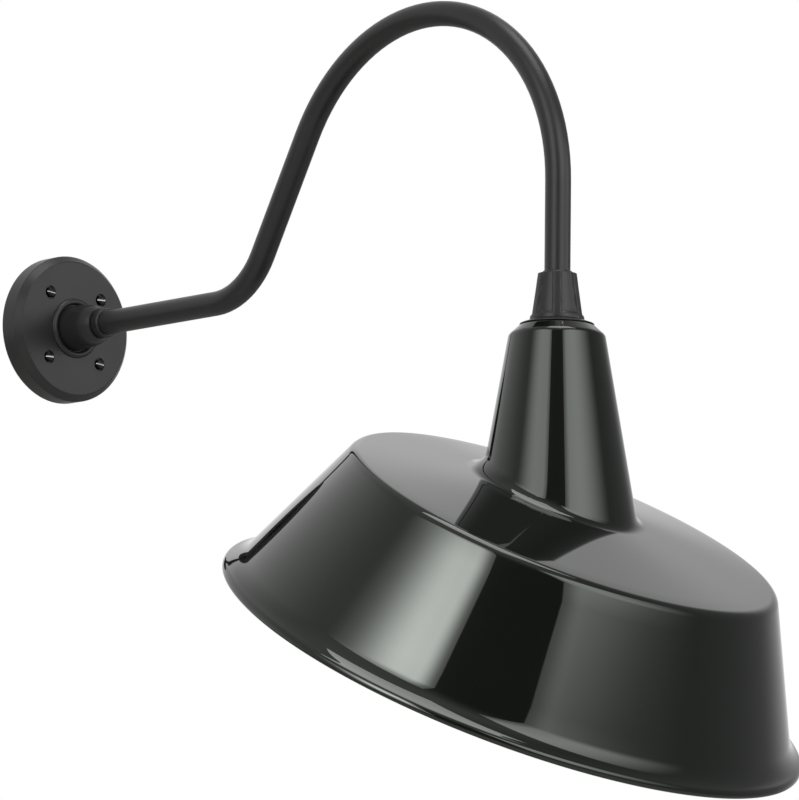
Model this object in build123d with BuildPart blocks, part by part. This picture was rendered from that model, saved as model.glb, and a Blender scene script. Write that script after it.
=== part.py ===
"""Gooseneck wall lantern with a tilted enamel shade, as separate pieces, in millimetres.

Frame: the wall is the plane y = 0, the lantern reaches out along -Y, X runs along the wall and Z is up.
The origin is the centre of the wall plate's back. A depth called "out" is measured from the wall.
"""

from build123d import *
from math import cos, radians, sin, tan
import os

os.makedirs("parts", exist_ok=True)

# ---------------------------------------------------------------- driving dimensions
# Fits
running_gap = 0.05  # radial, a thread or shaft that turns in its bore
slip_gap = 0.2  # radial, a screw or stem dropped through a hole
face_gap = 0.2  # axial, between flat faces that turn on each other

# Wall plate, a round casting with a hollow back
plate_r = 66.0
plate_side = 17.5
plate_depth = 23.5
plate_face_r = 60.3
plate_wall = 4.0
plate_rim_width = 6.5
hub_ring_r = 27.0
hub_ring_width = 6.0
hub_root_r = 20.5
hub_shoulder_r = 18.6
hub_mouth_r = 14.6
hub_shoulder_out = 46.0
hub_mouth_out = 59.5
plate_edge_round = 1.2
recess_edge_round = 0.5
gasket_t = 1.6
gasket_inset = 1.0
gasket_width = 9.0

# Plate screws, slotted pan heads on the corners of a square
screw_pitch = 58.6
screw_r = 2.4
screw_shank_r = 2.1
screw_head_r = 4.6
screw_head_h = 3.6
screw_head_round = 1.5
screw_recess_r = 5.6
screw_recess = 1.4
screw_post_r = 6.0
screw_reach = 15.0
screw_slot = 1.3
screw_slot_depth = 1.5

# Earth screw inside the plate
earth_r = 2.4
earth_head_r = 4.2
earth_head_h = 2.4
earth_length = 9.0
earth_place = 38.0
earth_post_r = 5.5
earth_post_h = 7.0

# Hub set screw, a socket grub screw in the side of the hub
hub_grub_r = 2.5
hub_grub_out = 34.0
grub_tip_gap = 0.3
grub_sink = 0.8
grub_socket_r = 1.4
grub_socket_depth = 2.5

# Gooseneck, half inch pipe
pipe_r = 10.67
pipe_bore_r = 7.9
arm_start = 27.0
arm_run = 214.3
rise_bend_r = 68.9
rise_angle = 60.55
rise_run = 112.8
crown_r = 163.3
drop_run = 78.2
ring_r = 13.1
ring_length = 8.6
ring_round = 1.6

# Fluted cap on the end of the pipe
cap_top_r = 16.7
cap_foot_r = 22.6
cap_h = 38.9
cap_band = 3.4
cap_ribs = 6
cap_rib_width = 7.4
cap_rib_turn = 45.0
cap_flute = 1.7
cap_collar_r = 12.1
cap_collar_h = 2.2
cap_socket_depth = 20.0
cap_stop_gap = 0.5
stem_r = 11.0
stem_bore_r = 7.2
stem_length = 18.5
cap_grub_r = 2.0
cap_grub_drop = 11.0

# Dished flange and rubber gasket between the cap and the shade
flange_r = 30.6
flange_t = 1.2
flange_flat_r = 23.4
flange_drop = 2.6
flange_edge_round = 0.5
seal_r = 22.4
seal_t = 2.2

# Shade neck, a spun cone that stands upright
sheet = 1.2
neck_top_r = 30.2
neck_shoulder_angle = 42.0
neck_round = 6.0
neck_ref_drop = 58.6
neck_ref_r = 41.0
neck_flare = 9.88
neck_foot_round = 14.0
dish_lip = 3.0

# Shade dish, a spun bowl that leans towards the wall
dish_tilt = 28.4
dish_drop = 203.7
dish_ahead = 12.2
dish_crown_r = 182.2
dish_crown_slope = 7.17
dish_shoulder = 10.7
dish_wall = 120.9
dish_wall_angle = 25.2
rim_flare_r = 25.7
rim_flare_angle = 66.4
rim_bead_r = 5.2
rim_hem_r = 2.3

# Strap, nut and washer that clamp the shade and carry the lampholder
strap_t = 2.0
strap_width = 30.0
strap_bend_r = 4.0
strap_toe = 8.0
washer_r = 15.5
washer_t = 1.6
nut_flats = 30.0
nut_t = 6.5
holder_gap = 26.0

# Lampholder, glazed porcelain with a screw shell for a 26 mm lamp base
holder_r = 22.5
holder_flat = 20.5
holder_head_h = 24.0
holder_barrel_r = 18.2
holder_h = 54.0
holder_floor = 12.0
holder_round = 2.0
shell_bore_r = 13.4
shell_t = 0.6
shell_length = 33.0
shell_slip = 0.25
shell_flange_r = 8.2
shell_collar_bore_r = 12.6
shell_collar_h = 6.0
contact_t = 0.8
contact_width = 6.0
contact_half = 7.0
contact_root = 2.2
contact_dip = 4.5
contact_rivet_place = 4.6
shell_rivet_place = 10.6
rivet_r = 1.5
rivet_head_r = 1.9
rivet_head_h = 0.9
terminal_r = 1.9
terminal_head_r = 3.4
terminal_head_h = 2.2
terminal_slot = 0.9
terminal_slot_depth = 1.0
terminal_place = 17.4
terminal_length = 7.0
terminal_plate_t = 1.0
terminal_plate_width = 8.0
terminal_plate_end = 21.2
terminal_plate_gap = 1.8
holder_screw_r = 2.0
holder_screw_head_r = 3.8
holder_screw_head_h = 2.4
holder_screw_length = 9.0
holder_screw_drop = 6.5

# Sleeved supply cable and the two leads at its end
sleeve_r = 3.4
sleeve_start = 6.0
sleeve_tail = 6.0
lead_r = 1.3
lead_step = 1.7
lead_place = 12.6
lead_straight = 4.0
lead_bend_r = 5.0

# ---------------------------------------------------------------- worked-out places
earth_seat = plate_depth - plate_wall - earth_post_h
screw_seat = plate_depth - screw_recess
arm_reach = (
    arm_run
    + rise_bend_r * sin(radians(rise_angle))
    + rise_run * cos(radians(rise_angle))
    + crown_r * (1 + sin(radians(rise_angle)))
)
crown_centre_z = (
    rise_bend_r * (1 - cos(radians(rise_angle)))
    + rise_run * sin(radians(rise_angle))
    - crown_r * cos(radians(rise_angle))
)
cap_top_z = crown_centre_z - drop_run
cap_foot_z = cap_top_z - cap_h
pipe_end_z = cap_top_z + cap_collar_h - cap_socket_depth
socket_floor_z = pipe_end_z - cap_stop_gap
seal_z = cap_foot_z - flange_t
neck_top_z = seal_z - seal_t
strap_z = neck_top_z - sheet
washer_z = strap_z - strap_t
nut_z = washer_z - washer_t
stem_end_z = cap_foot_z - stem_length
hole_r = stem_r + slip_gap
thread_bore_r = pipe_r + running_gap
holder_z = stem_end_z - holder_gap
shell_top_z = holder_z - holder_floor
holder_screw_z = holder_z - holder_screw_drop
holder_foot_z = holder_z - holder_h
sleeve_end_z = stem_end_z - sleeve_tail
drop_y = -arm_reach


def finish(part, name):
    """Labels a piece and writes it to its own file."""
    part.label = name
    export_step(part, f"parts/{name}.step")
    print(f"{name}: {part.volume / 1000:.2f} cm3")


def wall_plane(out):
    """A plane parallel to the wall, facing away from it, with its local x along X and y along Z."""
    return Plane(origin=(0, -out, 0), x_dir=(1, 0, 0), z_dir=(0, -1, 0))


def drop_plane(z):
    """A level plane on the centre line of the pipe's drop."""
    return Plane(origin=(0, drop_y, z), x_dir=(1, 0, 0), z_dir=(0, 0, 1))


def side_plane(y, z):
    """A plane square to X, with its local x along Y and its local y along Z."""
    return Plane(origin=(0, y, z), x_dir=(0, 1, 0), z_dir=(1, 0, 0))


# The plane of the profiles that turn about the drop: local x is the radius, local y is z.
drop_section = Plane(origin=(0, drop_y, 0), x_dir=(1, 0, 0), z_dir=(0, -1, 0))
drop_axis = Axis((0, drop_y, 0), (0, 0, 1))

# The dish turns about its own leaning axis: local x is the radius, local y points up along that axis.
lean = radians(dish_tilt)
dish_section = Plane(
    origin=(0, drop_y - dish_ahead, cap_top_z - dish_drop),
    x_dir=(1, 0, 0),
    z_dir=(0, -cos(lean), -sin(lean)),
)
dish_axis = Axis(dish_section.origin, dish_section.y_dir)

# ---------------------------------------------------------------- wall plate
with BuildPart() as wall_plate:
    with BuildSketch(Plane.XY):
        with BuildLine():
            l0 = Line((0, -gasket_t), (plate_r, -gasket_t))
            l1 = FilletPolyline(
                l0 @ 1,
                (plate_r, -plate_side),
                (plate_face_r, -plate_depth),
                (hub_ring_r, -plate_depth),
                radius=plate_edge_round,
            )
            l2 = ThreePointArc(
                l1 @ 1,
                (hub_ring_r - hub_ring_width / 2, -plate_depth - hub_ring_width / 2),
                (hub_ring_r - hub_ring_width, -plate_depth),
            )
            l3 = Line(l2 @ 1, (hub_root_r, -plate_depth))
            l4 = Line(l3 @ 1, (hub_shoulder_r, -hub_shoulder_out))
            l5 = TangentArc(l4 @ 1, (hub_mouth_r, -hub_mouth_out), tangent=l4 % 1)
            Polyline(l5 @ 1, (0, -hub_mouth_out), (0, -gasket_t))
        make_face()
    revolve(axis=Axis.Y)
    # hollow back
    with BuildSketch(wall_plane(gasket_t)):
        Circle(plate_r - plate_rim_width)
    extrude(amount=plate_depth - plate_wall - gasket_t, mode=Mode.SUBTRACT)
    # posts that the four screws pass through, and the earth screw's post
    with BuildSketch(wall_plane(gasket_t)):
        with GridLocations(screw_pitch, screw_pitch, 2, 2):
            Circle(screw_post_r)
    extrude(amount=plate_depth - plate_wall - gasket_t)
    with BuildSketch(wall_plane(earth_seat)):
        with Locations((0, -earth_place)):
            Circle(earth_post_r)
    extrude(amount=earth_post_h)
    # screw holes and their shallow recesses
    with Locations(wall_plane(plate_depth)):
        with GridLocations(screw_pitch, screw_pitch, 2, 2):
            CounterBoreHole(screw_r + slip_gap, screw_recess_r, screw_recess)
    recess_rims = wall_plate.edges().filter_by(GeomType.CIRCLE)
    recess_rims = recess_rims.filter_by(lambda edge: abs(edge.radius - screw_recess_r) < slip_gap / 2)
    fillet(recess_rims.group_by(Axis.Y)[0], recess_edge_round)
    with Locations(Plane(origin=(0, -earth_seat, -earth_place), z_dir=(0, 1, 0))):
        Hole(earth_r + running_gap, depth=earth_length)
    # threaded way for the pipe, and the grub screw's thread
    with Locations(wall_plane(hub_mouth_out)):
        Hole(thread_bore_r)
    with BuildSketch(side_plane(-hub_grub_out, 0)):
        Circle(hub_grub_r + running_gap)
    extrude(amount=hub_ring_r, mode=Mode.SUBTRACT)
finish(wall_plate.part, "wall_plate")

with BuildPart() as wall_gasket:
    with BuildSketch(wall_plane(0)):
        Circle(plate_r - gasket_inset)
        Circle(plate_r - gasket_inset - gasket_width, mode=Mode.SUBTRACT)
    extrude(amount=gasket_t)
finish(wall_gasket.part, "wall_gasket")

with BuildPart() as plate_screws:
    # the thread behind the wall's face, and the slimmer plain shank through the plate
    with BuildSketch(wall_plane(-screw_reach)):
        with GridLocations(screw_pitch, screw_pitch, 2, 2):
            Circle(screw_r)
    extrude(amount=screw_reach)
    with BuildSketch(wall_plane(0)):
        with GridLocations(screw_pitch, screw_pitch, 2, 2):
            Circle(screw_shank_r)
    extrude(amount=screw_seat)
    with BuildSketch(wall_plane(screw_seat)):
        with GridLocations(screw_pitch, screw_pitch, 2, 2):
            Circle(screw_head_r)
    extrude(amount=screw_head_h)
    head_tops = plate_screws.faces().group_by(Axis.Y)[0].edges()
    fillet(head_tops, screw_head_round)
    with BuildSketch(wall_plane(screw_seat + screw_head_h)):
        with GridLocations(screw_pitch, screw_pitch, 2, 2):
            Rectangle(2 * screw_head_r, screw_slot)
    extrude(amount=-screw_slot_depth, mode=Mode.SUBTRACT)
finish(plate_screws.part, "plate_screws")

with BuildPart() as earth_screw:
    with BuildSketch(wall_plane(earth_seat)):
        with Locations((0, -earth_place)):
            Circle(earth_r)
    extrude(amount=earth_length)
    with BuildSketch(wall_plane(earth_seat - earth_head_h)):
        with Locations((0, -earth_place)):
            RegularPolygon(earth_head_r, 6)
    extrude(amount=earth_head_h)
finish(earth_screw.part, "earth_screw")


def grub_screw(tip, direction, radius, length):
    """A headless screw from its tip outwards, with a hexagon socket in its outer end."""
    seat = Plane(origin=tip, z_dir=direction)
    with BuildPart() as grub:
        with BuildSketch(seat):
            Circle(radius)
        extrude(amount=length)
        with BuildSketch(seat.offset(length)):
            RegularPolygon(grub_socket_r, 6)
        extrude(amount=-grub_socket_depth, mode=Mode.SUBTRACT)
    return grub.part


hub_grub_skin = hub_root_r - (hub_root_r - hub_shoulder_r) * (hub_grub_out - plate_depth) / (
    hub_shoulder_out - plate_depth
)
hub_grub_tip = pipe_r + grub_tip_gap
hub_set_screw = grub_screw(
    (hub_grub_tip, -hub_grub_out, 0), (1, 0, 0), hub_grub_r, hub_grub_skin - grub_sink - hub_grub_tip
)
finish(hub_set_screw, "hub_set_screw")

# ---------------------------------------------------------------- gooseneck arm
with BuildPart() as gooseneck_arm:
    with BuildLine(Plane.YZ) as arm_line:
        a1 = Line((-arm_start, 0), (-arm_run, 0))
        a2 = JernArc(a1 @ 1, a1 % 1, rise_bend_r, -rise_angle)
        a3 = Line(a2 @ 1, (a2 @ 1) + (a2 % 1) * rise_run)
        a4 = JernArc(a3 @ 1, a3 % 1, crown_r, 90 + rise_angle)
        Line(a4 @ 1, (drop_y, pipe_end_z))
    with BuildSketch(wall_plane(arm_start)):
        Circle(pipe_r)
        Circle(pipe_bore_r, mode=Mode.SUBTRACT)
    sweep(path=arm_line.line)
finish(gooseneck_arm.part, "gooseneck_arm")

with BuildPart() as arm_lock_ring:
    with BuildSketch(wall_plane(hub_mouth_out + face_gap)):
        Circle(ring_r)
        Circle(pipe_r, mode=Mode.SUBTRACT)
    extrude(amount=ring_length)
    outer_edges = arm_lock_ring.edges().filter_by(GeomType.CIRCLE).sort_by(SortBy.RADIUS)[-2:]
    fillet(outer_edges, ring_round)
finish(arm_lock_ring.part, "arm_lock_ring")

# ---------------------------------------------------------------- fluted cap
# its grub screw sits in one of the ribs
cap_grub_turn = radians(cap_rib_turn - 360 / cap_ribs)
cap_grub_plane = Plane(
    origin=(0, drop_y, cap_top_z - cap_grub_drop),
    x_dir=(-sin(cap_grub_turn), cos(cap_grub_turn), 0),
    z_dir=(cos(cap_grub_turn), sin(cap_grub_turn), 0),
)
with BuildPart() as fluted_cap:
    # ribs across the full width, a plain core between them and a plain band at the foot
    with BuildSketch(drop_plane(cap_foot_z)):
        for k in range(cap_ribs // 2):
            Rectangle(2 * cap_foot_r, cap_rib_width, rotation=cap_rib_turn + 360 / cap_ribs * k)
    extrude(amount=cap_h)
    with BuildSketch(drop_section):
        with BuildLine():
            Polyline(
                (0, cap_foot_z),
                (cap_foot_r - cap_flute, cap_foot_z),
                (cap_top_r - cap_flute, cap_top_z),
                (0, cap_top_z),
                close=True,
            )
        make_face()
    revolve(axis=drop_axis)
    with BuildSketch(drop_plane(cap_foot_z)):
        Circle(cap_foot_r)
    extrude(amount=cap_band)
    with BuildSketch(drop_section):
        with BuildLine():
            Polyline(
                (0, cap_foot_z), (cap_foot_r, cap_foot_z), (cap_top_r, cap_top_z), (0, cap_top_z), close=True
            )
        make_face()
    revolve(axis=drop_axis, mode=Mode.INTERSECT)
    # collar round the pipe, with a hollow curve at its root, and the threaded stem below
    with BuildSketch(drop_section):
        with BuildLine():
            c1 = JernArc((cap_collar_r, cap_top_z + cap_collar_h), (0, -1), cap_collar_h, 90)
            Polyline(c1 @ 1, (0, cap_top_z), (0, cap_top_z + cap_collar_h), c1 @ 0)
        make_face()
    revolve(axis=drop_axis)
    with BuildSketch(drop_plane(cap_foot_z)):
        Circle(stem_r)
    extrude(amount=-stem_length)
    # socket for the pipe and the way for the leads
    with BuildSketch(drop_plane(cap_top_z + cap_collar_h)):
        Circle(thread_bore_r)
    extrude(amount=-(cap_top_z + cap_collar_h - socket_floor_z), mode=Mode.SUBTRACT)
    with BuildSketch(drop_plane(socket_floor_z)):
        Circle(stem_bore_r)
    extrude(amount=-(socket_floor_z - stem_end_z), mode=Mode.SUBTRACT)
    # thread for the cap's own grub screw
    with BuildSketch(cap_grub_plane):
        Circle(cap_grub_r + running_gap)
    extrude(amount=cap_foot_r, mode=Mode.SUBTRACT)
finish(fluted_cap.part, "fluted_cap")

cap_grub_skin = cap_top_r + (cap_foot_r - cap_top_r) * (cap_grub_drop / cap_h)
cap_grub_tip = pipe_r + grub_tip_gap
cap_set_screw = grub_screw(
    cap_grub_plane.offset(cap_grub_tip).origin,
    cap_grub_plane.z_dir,
    cap_grub_r,
    cap_grub_skin - grub_sink - cap_grub_tip,
)
finish(cap_set_screw, "cap_set_screw")

# ---------------------------------------------------------------- flange and seal
with BuildPart() as shade_flange:
    with BuildSketch(drop_section):
        with BuildLine():
            Polyline(
                (hole_r, cap_foot_z),
                (flange_flat_r, cap_foot_z),
                (flange_r, cap_foot_z - flange_drop),
                (flange_r, cap_foot_z - flange_drop - flange_t),
                (flange_flat_r, seal_z),
                (hole_r, seal_z),
                close=True,
            )
        make_face()
    revolve(axis=drop_axis)
    rim_edges = shade_flange.edges().filter_by(GeomType.CIRCLE).sort_by(SortBy.RADIUS)[-2:]
    fillet(rim_edges, flange_edge_round)
finish(shade_flange.part, "shade_flange")

with BuildPart() as flange_seal:
    with BuildSketch(drop_plane(neck_top_z)):
        Circle(seal_r)
        Circle(hole_r, mode=Mode.SUBTRACT)
    extrude(amount=seal_t)
finish(flange_seal.part, "flange_seal")

# ---------------------------------------------------------------- shade neck and dish
# The neck's outline at an inset from its outer skin: flat top, sloping shoulder, upright cone.
shoulder_slope = radians(neck_shoulder_angle)
flare_slope = radians(neck_flare)
neck_ref_z = cap_top_z - neck_ref_drop
neck_foot_z = cap_top_z - dish_drop - neck_ref_r


def neck_outline(inset):
    """Corners of half the neck's section, from the axis over the shoulder and down inside the dish."""
    crown_z = neck_top_z - inset
    top_r = neck_top_r + inset * (1 - 1 / cos(shoulder_slope)) / tan(shoulder_slope)
    rise = neck_ref_z - neck_top_z - neck_top_r * tan(shoulder_slope) + inset / cos(shoulder_slope)
    shoulder_r = (neck_ref_r + rise * tan(flare_slope) - inset / cos(flare_slope)) / (
        1 - tan(shoulder_slope) * tan(flare_slope)
    )
    shoulder_z = neck_top_z - (shoulder_r - neck_top_r) * tan(shoulder_slope) - inset / cos(shoulder_slope)
    foot_r = neck_ref_r + (neck_ref_z - neck_foot_z) * tan(flare_slope) - inset / cos(flare_slope)
    return [(0, crown_z), (top_r, crown_z), (shoulder_r, shoulder_z), (foot_r, neck_foot_z)]


def neck_solid(inset):
    """The neck's section turned into a full cone, its shoulder rounded."""
    corners = neck_outline(inset)
    with BuildPart() as cone:
        with BuildSketch(drop_section):
            with BuildLine():
                skin = FilletPolyline(*corners, radius=neck_round - inset)
                Polyline(skin @ 1, (0, neck_foot_z), corners[0])
            make_face()
        revolve(axis=drop_axis)
    return cone.part


# The dish's outline in its own leaning section, from the axis over the shoulder to the wall's end.
crown_rise = dish_crown_r * tan(radians(dish_crown_slope))
dish_neck_r = neck_ref_r / 2
wall_foot = (
    dish_crown_r + dish_wall * sin(radians(dish_wall_angle)),
    -dish_wall * cos(radians(dish_wall_angle)),
)
with BuildPart() as dish_form:
    with BuildSketch(dish_section):
        with BuildLine():
            Polyline((0, crown_rise), (dish_crown_r, 0), wall_foot, (0, wall_foot[1]), close=True)
        make_face()
    revolve(axis=dish_axis)

neck_cone = neck_solid(0)
with BuildPart() as shade_neck:
    add(neck_cone)
    add(dish_form.part)
    joint_edges = new_edges(neck_cone, dish_form.part, combined=shade_neck.part)
    fillet(joint_edges, neck_foot_round)
    add(dish_form.part, mode=Mode.SUBTRACT)
    add(neck_solid(sheet), mode=Mode.SUBTRACT)
    with BuildSketch(drop_plane(neck_top_z)):
        Circle(hole_r)
    extrude(amount=-2 * sheet, mode=Mode.SUBTRACT)
finish(shade_neck.part, "shade_neck")

# The hole under the neck leaves a narrow lip of the dish inside it, even on the joint's high side.
joint_top_z = max(edge.bounding_box().max.Z for edge in joint_edges)
dish_hole_r = neck_ref_r + (neck_ref_z - joint_top_z) * tan(flare_slope) - sheet - dish_lip



def dish_skin(inset):
    """The dish's line from under the neck to the end of its rolled rim, at an inset from its outer skin."""
    slope = radians(dish_crown_slope)
    fall = radians(dish_wall_angle)
    inward = (slope + radians(90) - fall) / 2
    shoulder_inset = inset / cos(inward - slope)
    top = (dish_neck_r - inset * sin(slope), (dish_crown_r - dish_neck_r) * tan(slope) - inset * cos(slope))
    shoulder = (dish_crown_r - shoulder_inset * sin(inward), -shoulder_inset * cos(inward))
    foot = (wall_foot[0] - inset * cos(fall), wall_foot[1] - inset * sin(fall))
    with BuildLine() as skin:
        d1 = FilletPolyline(top, shoulder, foot, radius=dish_shoulder - inset)
        d2 = JernArc(d1 @ 1, d1 % 1, rim_flare_r + inset, rim_flare_angle - dish_wall_angle)
        d3 = JernArc(d2 @ 1, d2 % 1, rim_bead_r - inset, -rim_flare_angle)
        JernArc(d3 @ 1, d3 % 1, rim_hem_r - inset, -180)
    return skin.wire()


outer_skin = dish_skin(0)
inner_skin = dish_skin(sheet)
with BuildSketch() as dish_sheet:
    with BuildLine():
        add(outer_skin)
        add(inner_skin)
        Line(outer_skin @ 0, inner_skin @ 0)
        Line(outer_skin @ 1, inner_skin @ 1)
    make_face()

with BuildPart() as shade_dish:
    with BuildSketch(dish_section):
        add(dish_sheet.sketch)
    revolve(axis=dish_axis)
    with BuildSketch(drop_plane(joint_top_z + dish_crown_r)):
        Circle(dish_hole_r)
    extrude(amount=-2 * dish_crown_r, mode=Mode.SUBTRACT)
finish(shade_dish.part, "shade_dish")

# ---------------------------------------------------------------- strap, washer and nut
strap_leg = holder_flat + strap_t
strap_foot_z = holder_screw_z - strap_toe


def strap_skin(inset):
    """The strap's bent line, over the lampholder and down both its sides, at an inset from its outer skin."""
    side = strap_leg - inset
    top = strap_z - inset
    with BuildLine() as skin:
        FilletPolyline(
            (-side, strap_foot_z), (-side, top), (side, top), (side, strap_foot_z), radius=strap_bend_r - inset
        )
    return skin.wire()


with BuildSketch() as strap_sheet:
    with BuildLine():
        add(strap_skin(0))
        add(strap_skin(strap_t))
        Line((-strap_leg, strap_foot_z), (strap_t - strap_leg, strap_foot_z))
        Line((strap_leg, strap_foot_z), (strap_leg - strap_t, strap_foot_z))
    make_face()

with BuildPart() as holder_strap:
    with BuildSketch(drop_section):
        add(strap_sheet.sketch)
    extrude(amount=strap_width / 2, both=True)
    with BuildSketch(drop_plane(strap_z)):
        Circle(hole_r)
    extrude(amount=-strap_t, mode=Mode.SUBTRACT)
    with BuildSketch(side_plane(drop_y, holder_screw_z)):
        Circle(holder_screw_r + slip_gap)
    extrude(amount=strap_leg, both=True, mode=Mode.SUBTRACT)
finish(holder_strap.part, "holder_strap")

with BuildPart() as stem_washer:
    with BuildSketch(drop_plane(washer_z)):
        Circle(washer_r)
        Circle(hole_r, mode=Mode.SUBTRACT)
    extrude(amount=-washer_t)
finish(stem_washer.part, "stem_washer")

with BuildPart() as stem_nut:
    with BuildSketch(drop_plane(nut_z)):
        RegularPolygon(nut_flats / 2, 6, major_radius=False)
        Circle(stem_r + running_gap, mode=Mode.SUBTRACT)
    extrude(amount=-nut_t)
finish(stem_nut.part, "stem_nut")

# ---------------------------------------------------------------- lampholder
floor_bore_r = rivet_r + running_gap
with BuildPart() as lampholder_body:
    with BuildSketch(drop_section):
        with BuildLine():
            Polyline(
                (0, holder_z),
                (holder_r, holder_z),
                (holder_r, holder_z - holder_head_h),
                (holder_barrel_r, holder_z - holder_head_h - (holder_r - holder_barrel_r)),
                (holder_barrel_r, holder_foot_z),
                (0, holder_foot_z),
                close=True,
            )
        make_face()
    revolve(axis=drop_axis)
    rims = lampholder_body.edges().filter_by(GeomType.CIRCLE)
    fillet(rims, holder_round)
    # flats for the strap, and the well that the screw shell stands in
    with BuildSketch(drop_plane(holder_z)):
        with Locations((holder_flat + holder_r / 2, 0), (-holder_flat - holder_r / 2, 0)):
            Rectangle(holder_r, 2 * holder_r)
    extrude(amount=-holder_h, mode=Mode.SUBTRACT)
    with BuildSketch(drop_plane(holder_foot_z)):
        Circle(shell_bore_r + shell_t + shell_slip)
    extrude(amount=holder_h - holder_floor, mode=Mode.SUBTRACT)
    # holes for the rivets, the terminal screws and the two screws through the strap
    with BuildSketch(drop_plane(holder_z)):
        with Locations((0, -contact_rivet_place), (0, shell_rivet_place)):
            Circle(floor_bore_r)
    extrude(amount=-holder_floor, mode=Mode.SUBTRACT)
    with BuildSketch(drop_plane(holder_z)):
        with Locations((0, -terminal_place), (0, terminal_place)):
            Circle(terminal_r + running_gap)
    extrude(amount=-terminal_length, mode=Mode.SUBTRACT)
    for side in (-1, 1):
        with BuildSketch(side_plane(drop_y, holder_screw_z).offset(side * holder_flat)):
            Circle(holder_screw_r + running_gap)
        extrude(amount=-side * (holder_screw_length - strap_t), mode=Mode.SUBTRACT)
finish(lampholder_body.part, "lampholder_body")

collar_foot_z = shell_top_z - shell_collar_h
with BuildPart() as screw_shell:
    # the narrow collar under the porcelain, then the wide shell that the lamp screws into
    with BuildSketch(drop_section):
        with BuildLine():
            Polyline(
                (shell_flange_r, shell_top_z),
                (shell_collar_bore_r + shell_t, shell_top_z),
                (shell_collar_bore_r + shell_t, collar_foot_z + shell_t),
                (shell_bore_r + shell_t, collar_foot_z + shell_t),
                (shell_bore_r + shell_t, shell_top_z - shell_length),
                (shell_bore_r, shell_top_z - shell_length),
                (shell_bore_r, collar_foot_z),
                (shell_collar_bore_r, collar_foot_z),
                (shell_collar_bore_r, shell_top_z - shell_t),
                (shell_flange_r, shell_top_z - shell_t),
                close=True,
            )
        make_face()
    revolve(axis=drop_axis)
    with BuildSketch(drop_plane(shell_top_z)):
        with Locations((0, shell_rivet_place)):
            Circle(rivet_r + running_gap)
    extrude(amount=-shell_t, mode=Mode.SUBTRACT)
finish(screw_shell.part, "screw_shell")

# a springy brass leaf under the floor: its root is riveted flat and its free end dips to the lamp
with BuildSketch() as contact_leaf:
    with BuildLine():
        Polyline(
            (-contact_half, shell_top_z),
            (-contact_root, shell_top_z),
            (0, shell_top_z - contact_dip),
            (contact_half, shell_top_z - contact_dip),
            (contact_half, shell_top_z - contact_dip - contact_t),
            (-contact_t / 2, shell_top_z - contact_dip - contact_t),
            (-contact_root - contact_t / 2, shell_top_z - contact_t),
            (-contact_half, shell_top_z - contact_t),
            close=True,
        )
    make_face()

with BuildPart() as centre_contact:
    with BuildSketch(side_plane(drop_y, 0)):
        add(contact_leaf.sketch)
    extrude(amount=contact_width / 2, both=True)
    with BuildSketch(drop_plane(shell_top_z)):
        with Locations((0, -contact_rivet_place)):
            Circle(rivet_r + running_gap)
    extrude(amount=-2 * contact_t, mode=Mode.SUBTRACT)
finish(centre_contact.part, "centre_contact")

plate_top_z = holder_z + terminal_plate_t


def terminal_plate(inner, outer, rivet_place, screw_place):
    """A flat brass tab on the porcelain, from its inner to its outer end along Y."""
    middle = (inner + outer) / 2
    with BuildPart() as tab:
        with BuildSketch(drop_plane(holder_z)):
            with Locations((0, middle)):
                Rectangle(terminal_plate_width, abs(outer - inner))
            with Locations((0, rivet_place)):
                Circle(rivet_r + running_gap, mode=Mode.SUBTRACT)
            with Locations((0, screw_place)):
                Circle(terminal_r + running_gap, mode=Mode.SUBTRACT)
        extrude(amount=terminal_plate_t)
    return tab.part


line_plate = terminal_plate(-terminal_plate_gap, -terminal_plate_end, -contact_rivet_place, -terminal_place)
finish(line_plate, "line_terminal_plate")
neutral_plate = terminal_plate(
    shell_rivet_place - terminal_plate_width / 2, terminal_plate_end, shell_rivet_place, terminal_place
)
finish(neutral_plate, "neutral_terminal_plate")


def terminal_screw(place):
    """A slotted binding screw standing in the porcelain, with its head on the terminal plate."""
    with BuildPart() as screw:
        with BuildSketch(drop_plane(plate_top_z)):
            with Locations((0, place)):
                Circle(terminal_r)
        extrude(amount=-(terminal_plate_t + terminal_length - slip_gap))
        with BuildSketch(drop_plane(plate_top_z)):
            with Locations((0, place)):
                Circle(terminal_head_r)
        extrude(amount=terminal_head_h)
        with BuildSketch(drop_plane(plate_top_z + terminal_head_h)):
            with Locations((0, place)):
                Rectangle(2 * terminal_head_r, terminal_slot)
        extrude(amount=-terminal_slot_depth, mode=Mode.SUBTRACT)
    return screw.part


finish(terminal_screw(-terminal_place), "line_terminal_screw")
finish(terminal_screw(terminal_place), "neutral_terminal_screw")

# the leaf's rivet and the shell's rivet, each headed below the sheet that it holds
with BuildPart() as holder_rivets:
    with BuildSketch(drop_plane(plate_top_z)):
        with Locations((0, -contact_rivet_place), (0, shell_rivet_place)):
            Circle(rivet_r)
    extrude(amount=-(plate_top_z - shell_top_z + contact_t))
    with BuildSketch(drop_plane(shell_top_z - contact_t)):
        with Locations((0, -contact_rivet_place), (0, shell_rivet_place)):
            Circle(rivet_head_r)
    extrude(amount=-rivet_head_h)
finish(holder_rivets.part, "holder_rivets")

with BuildPart() as holder_screws:
    for side in (-1, 1):
        seat = Plane(origin=(side * strap_leg, drop_y, holder_screw_z), x_dir=(0, 1, 0), z_dir=(side, 0, 0))
        with BuildSketch(seat):
            Circle(holder_screw_r)
        extrude(amount=-(holder_screw_length - slip_gap))
        with BuildSketch(seat):
            Circle(holder_screw_head_r)
        extrude(amount=holder_screw_head_h)
finish(holder_screws.part, "holder_screws")

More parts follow.
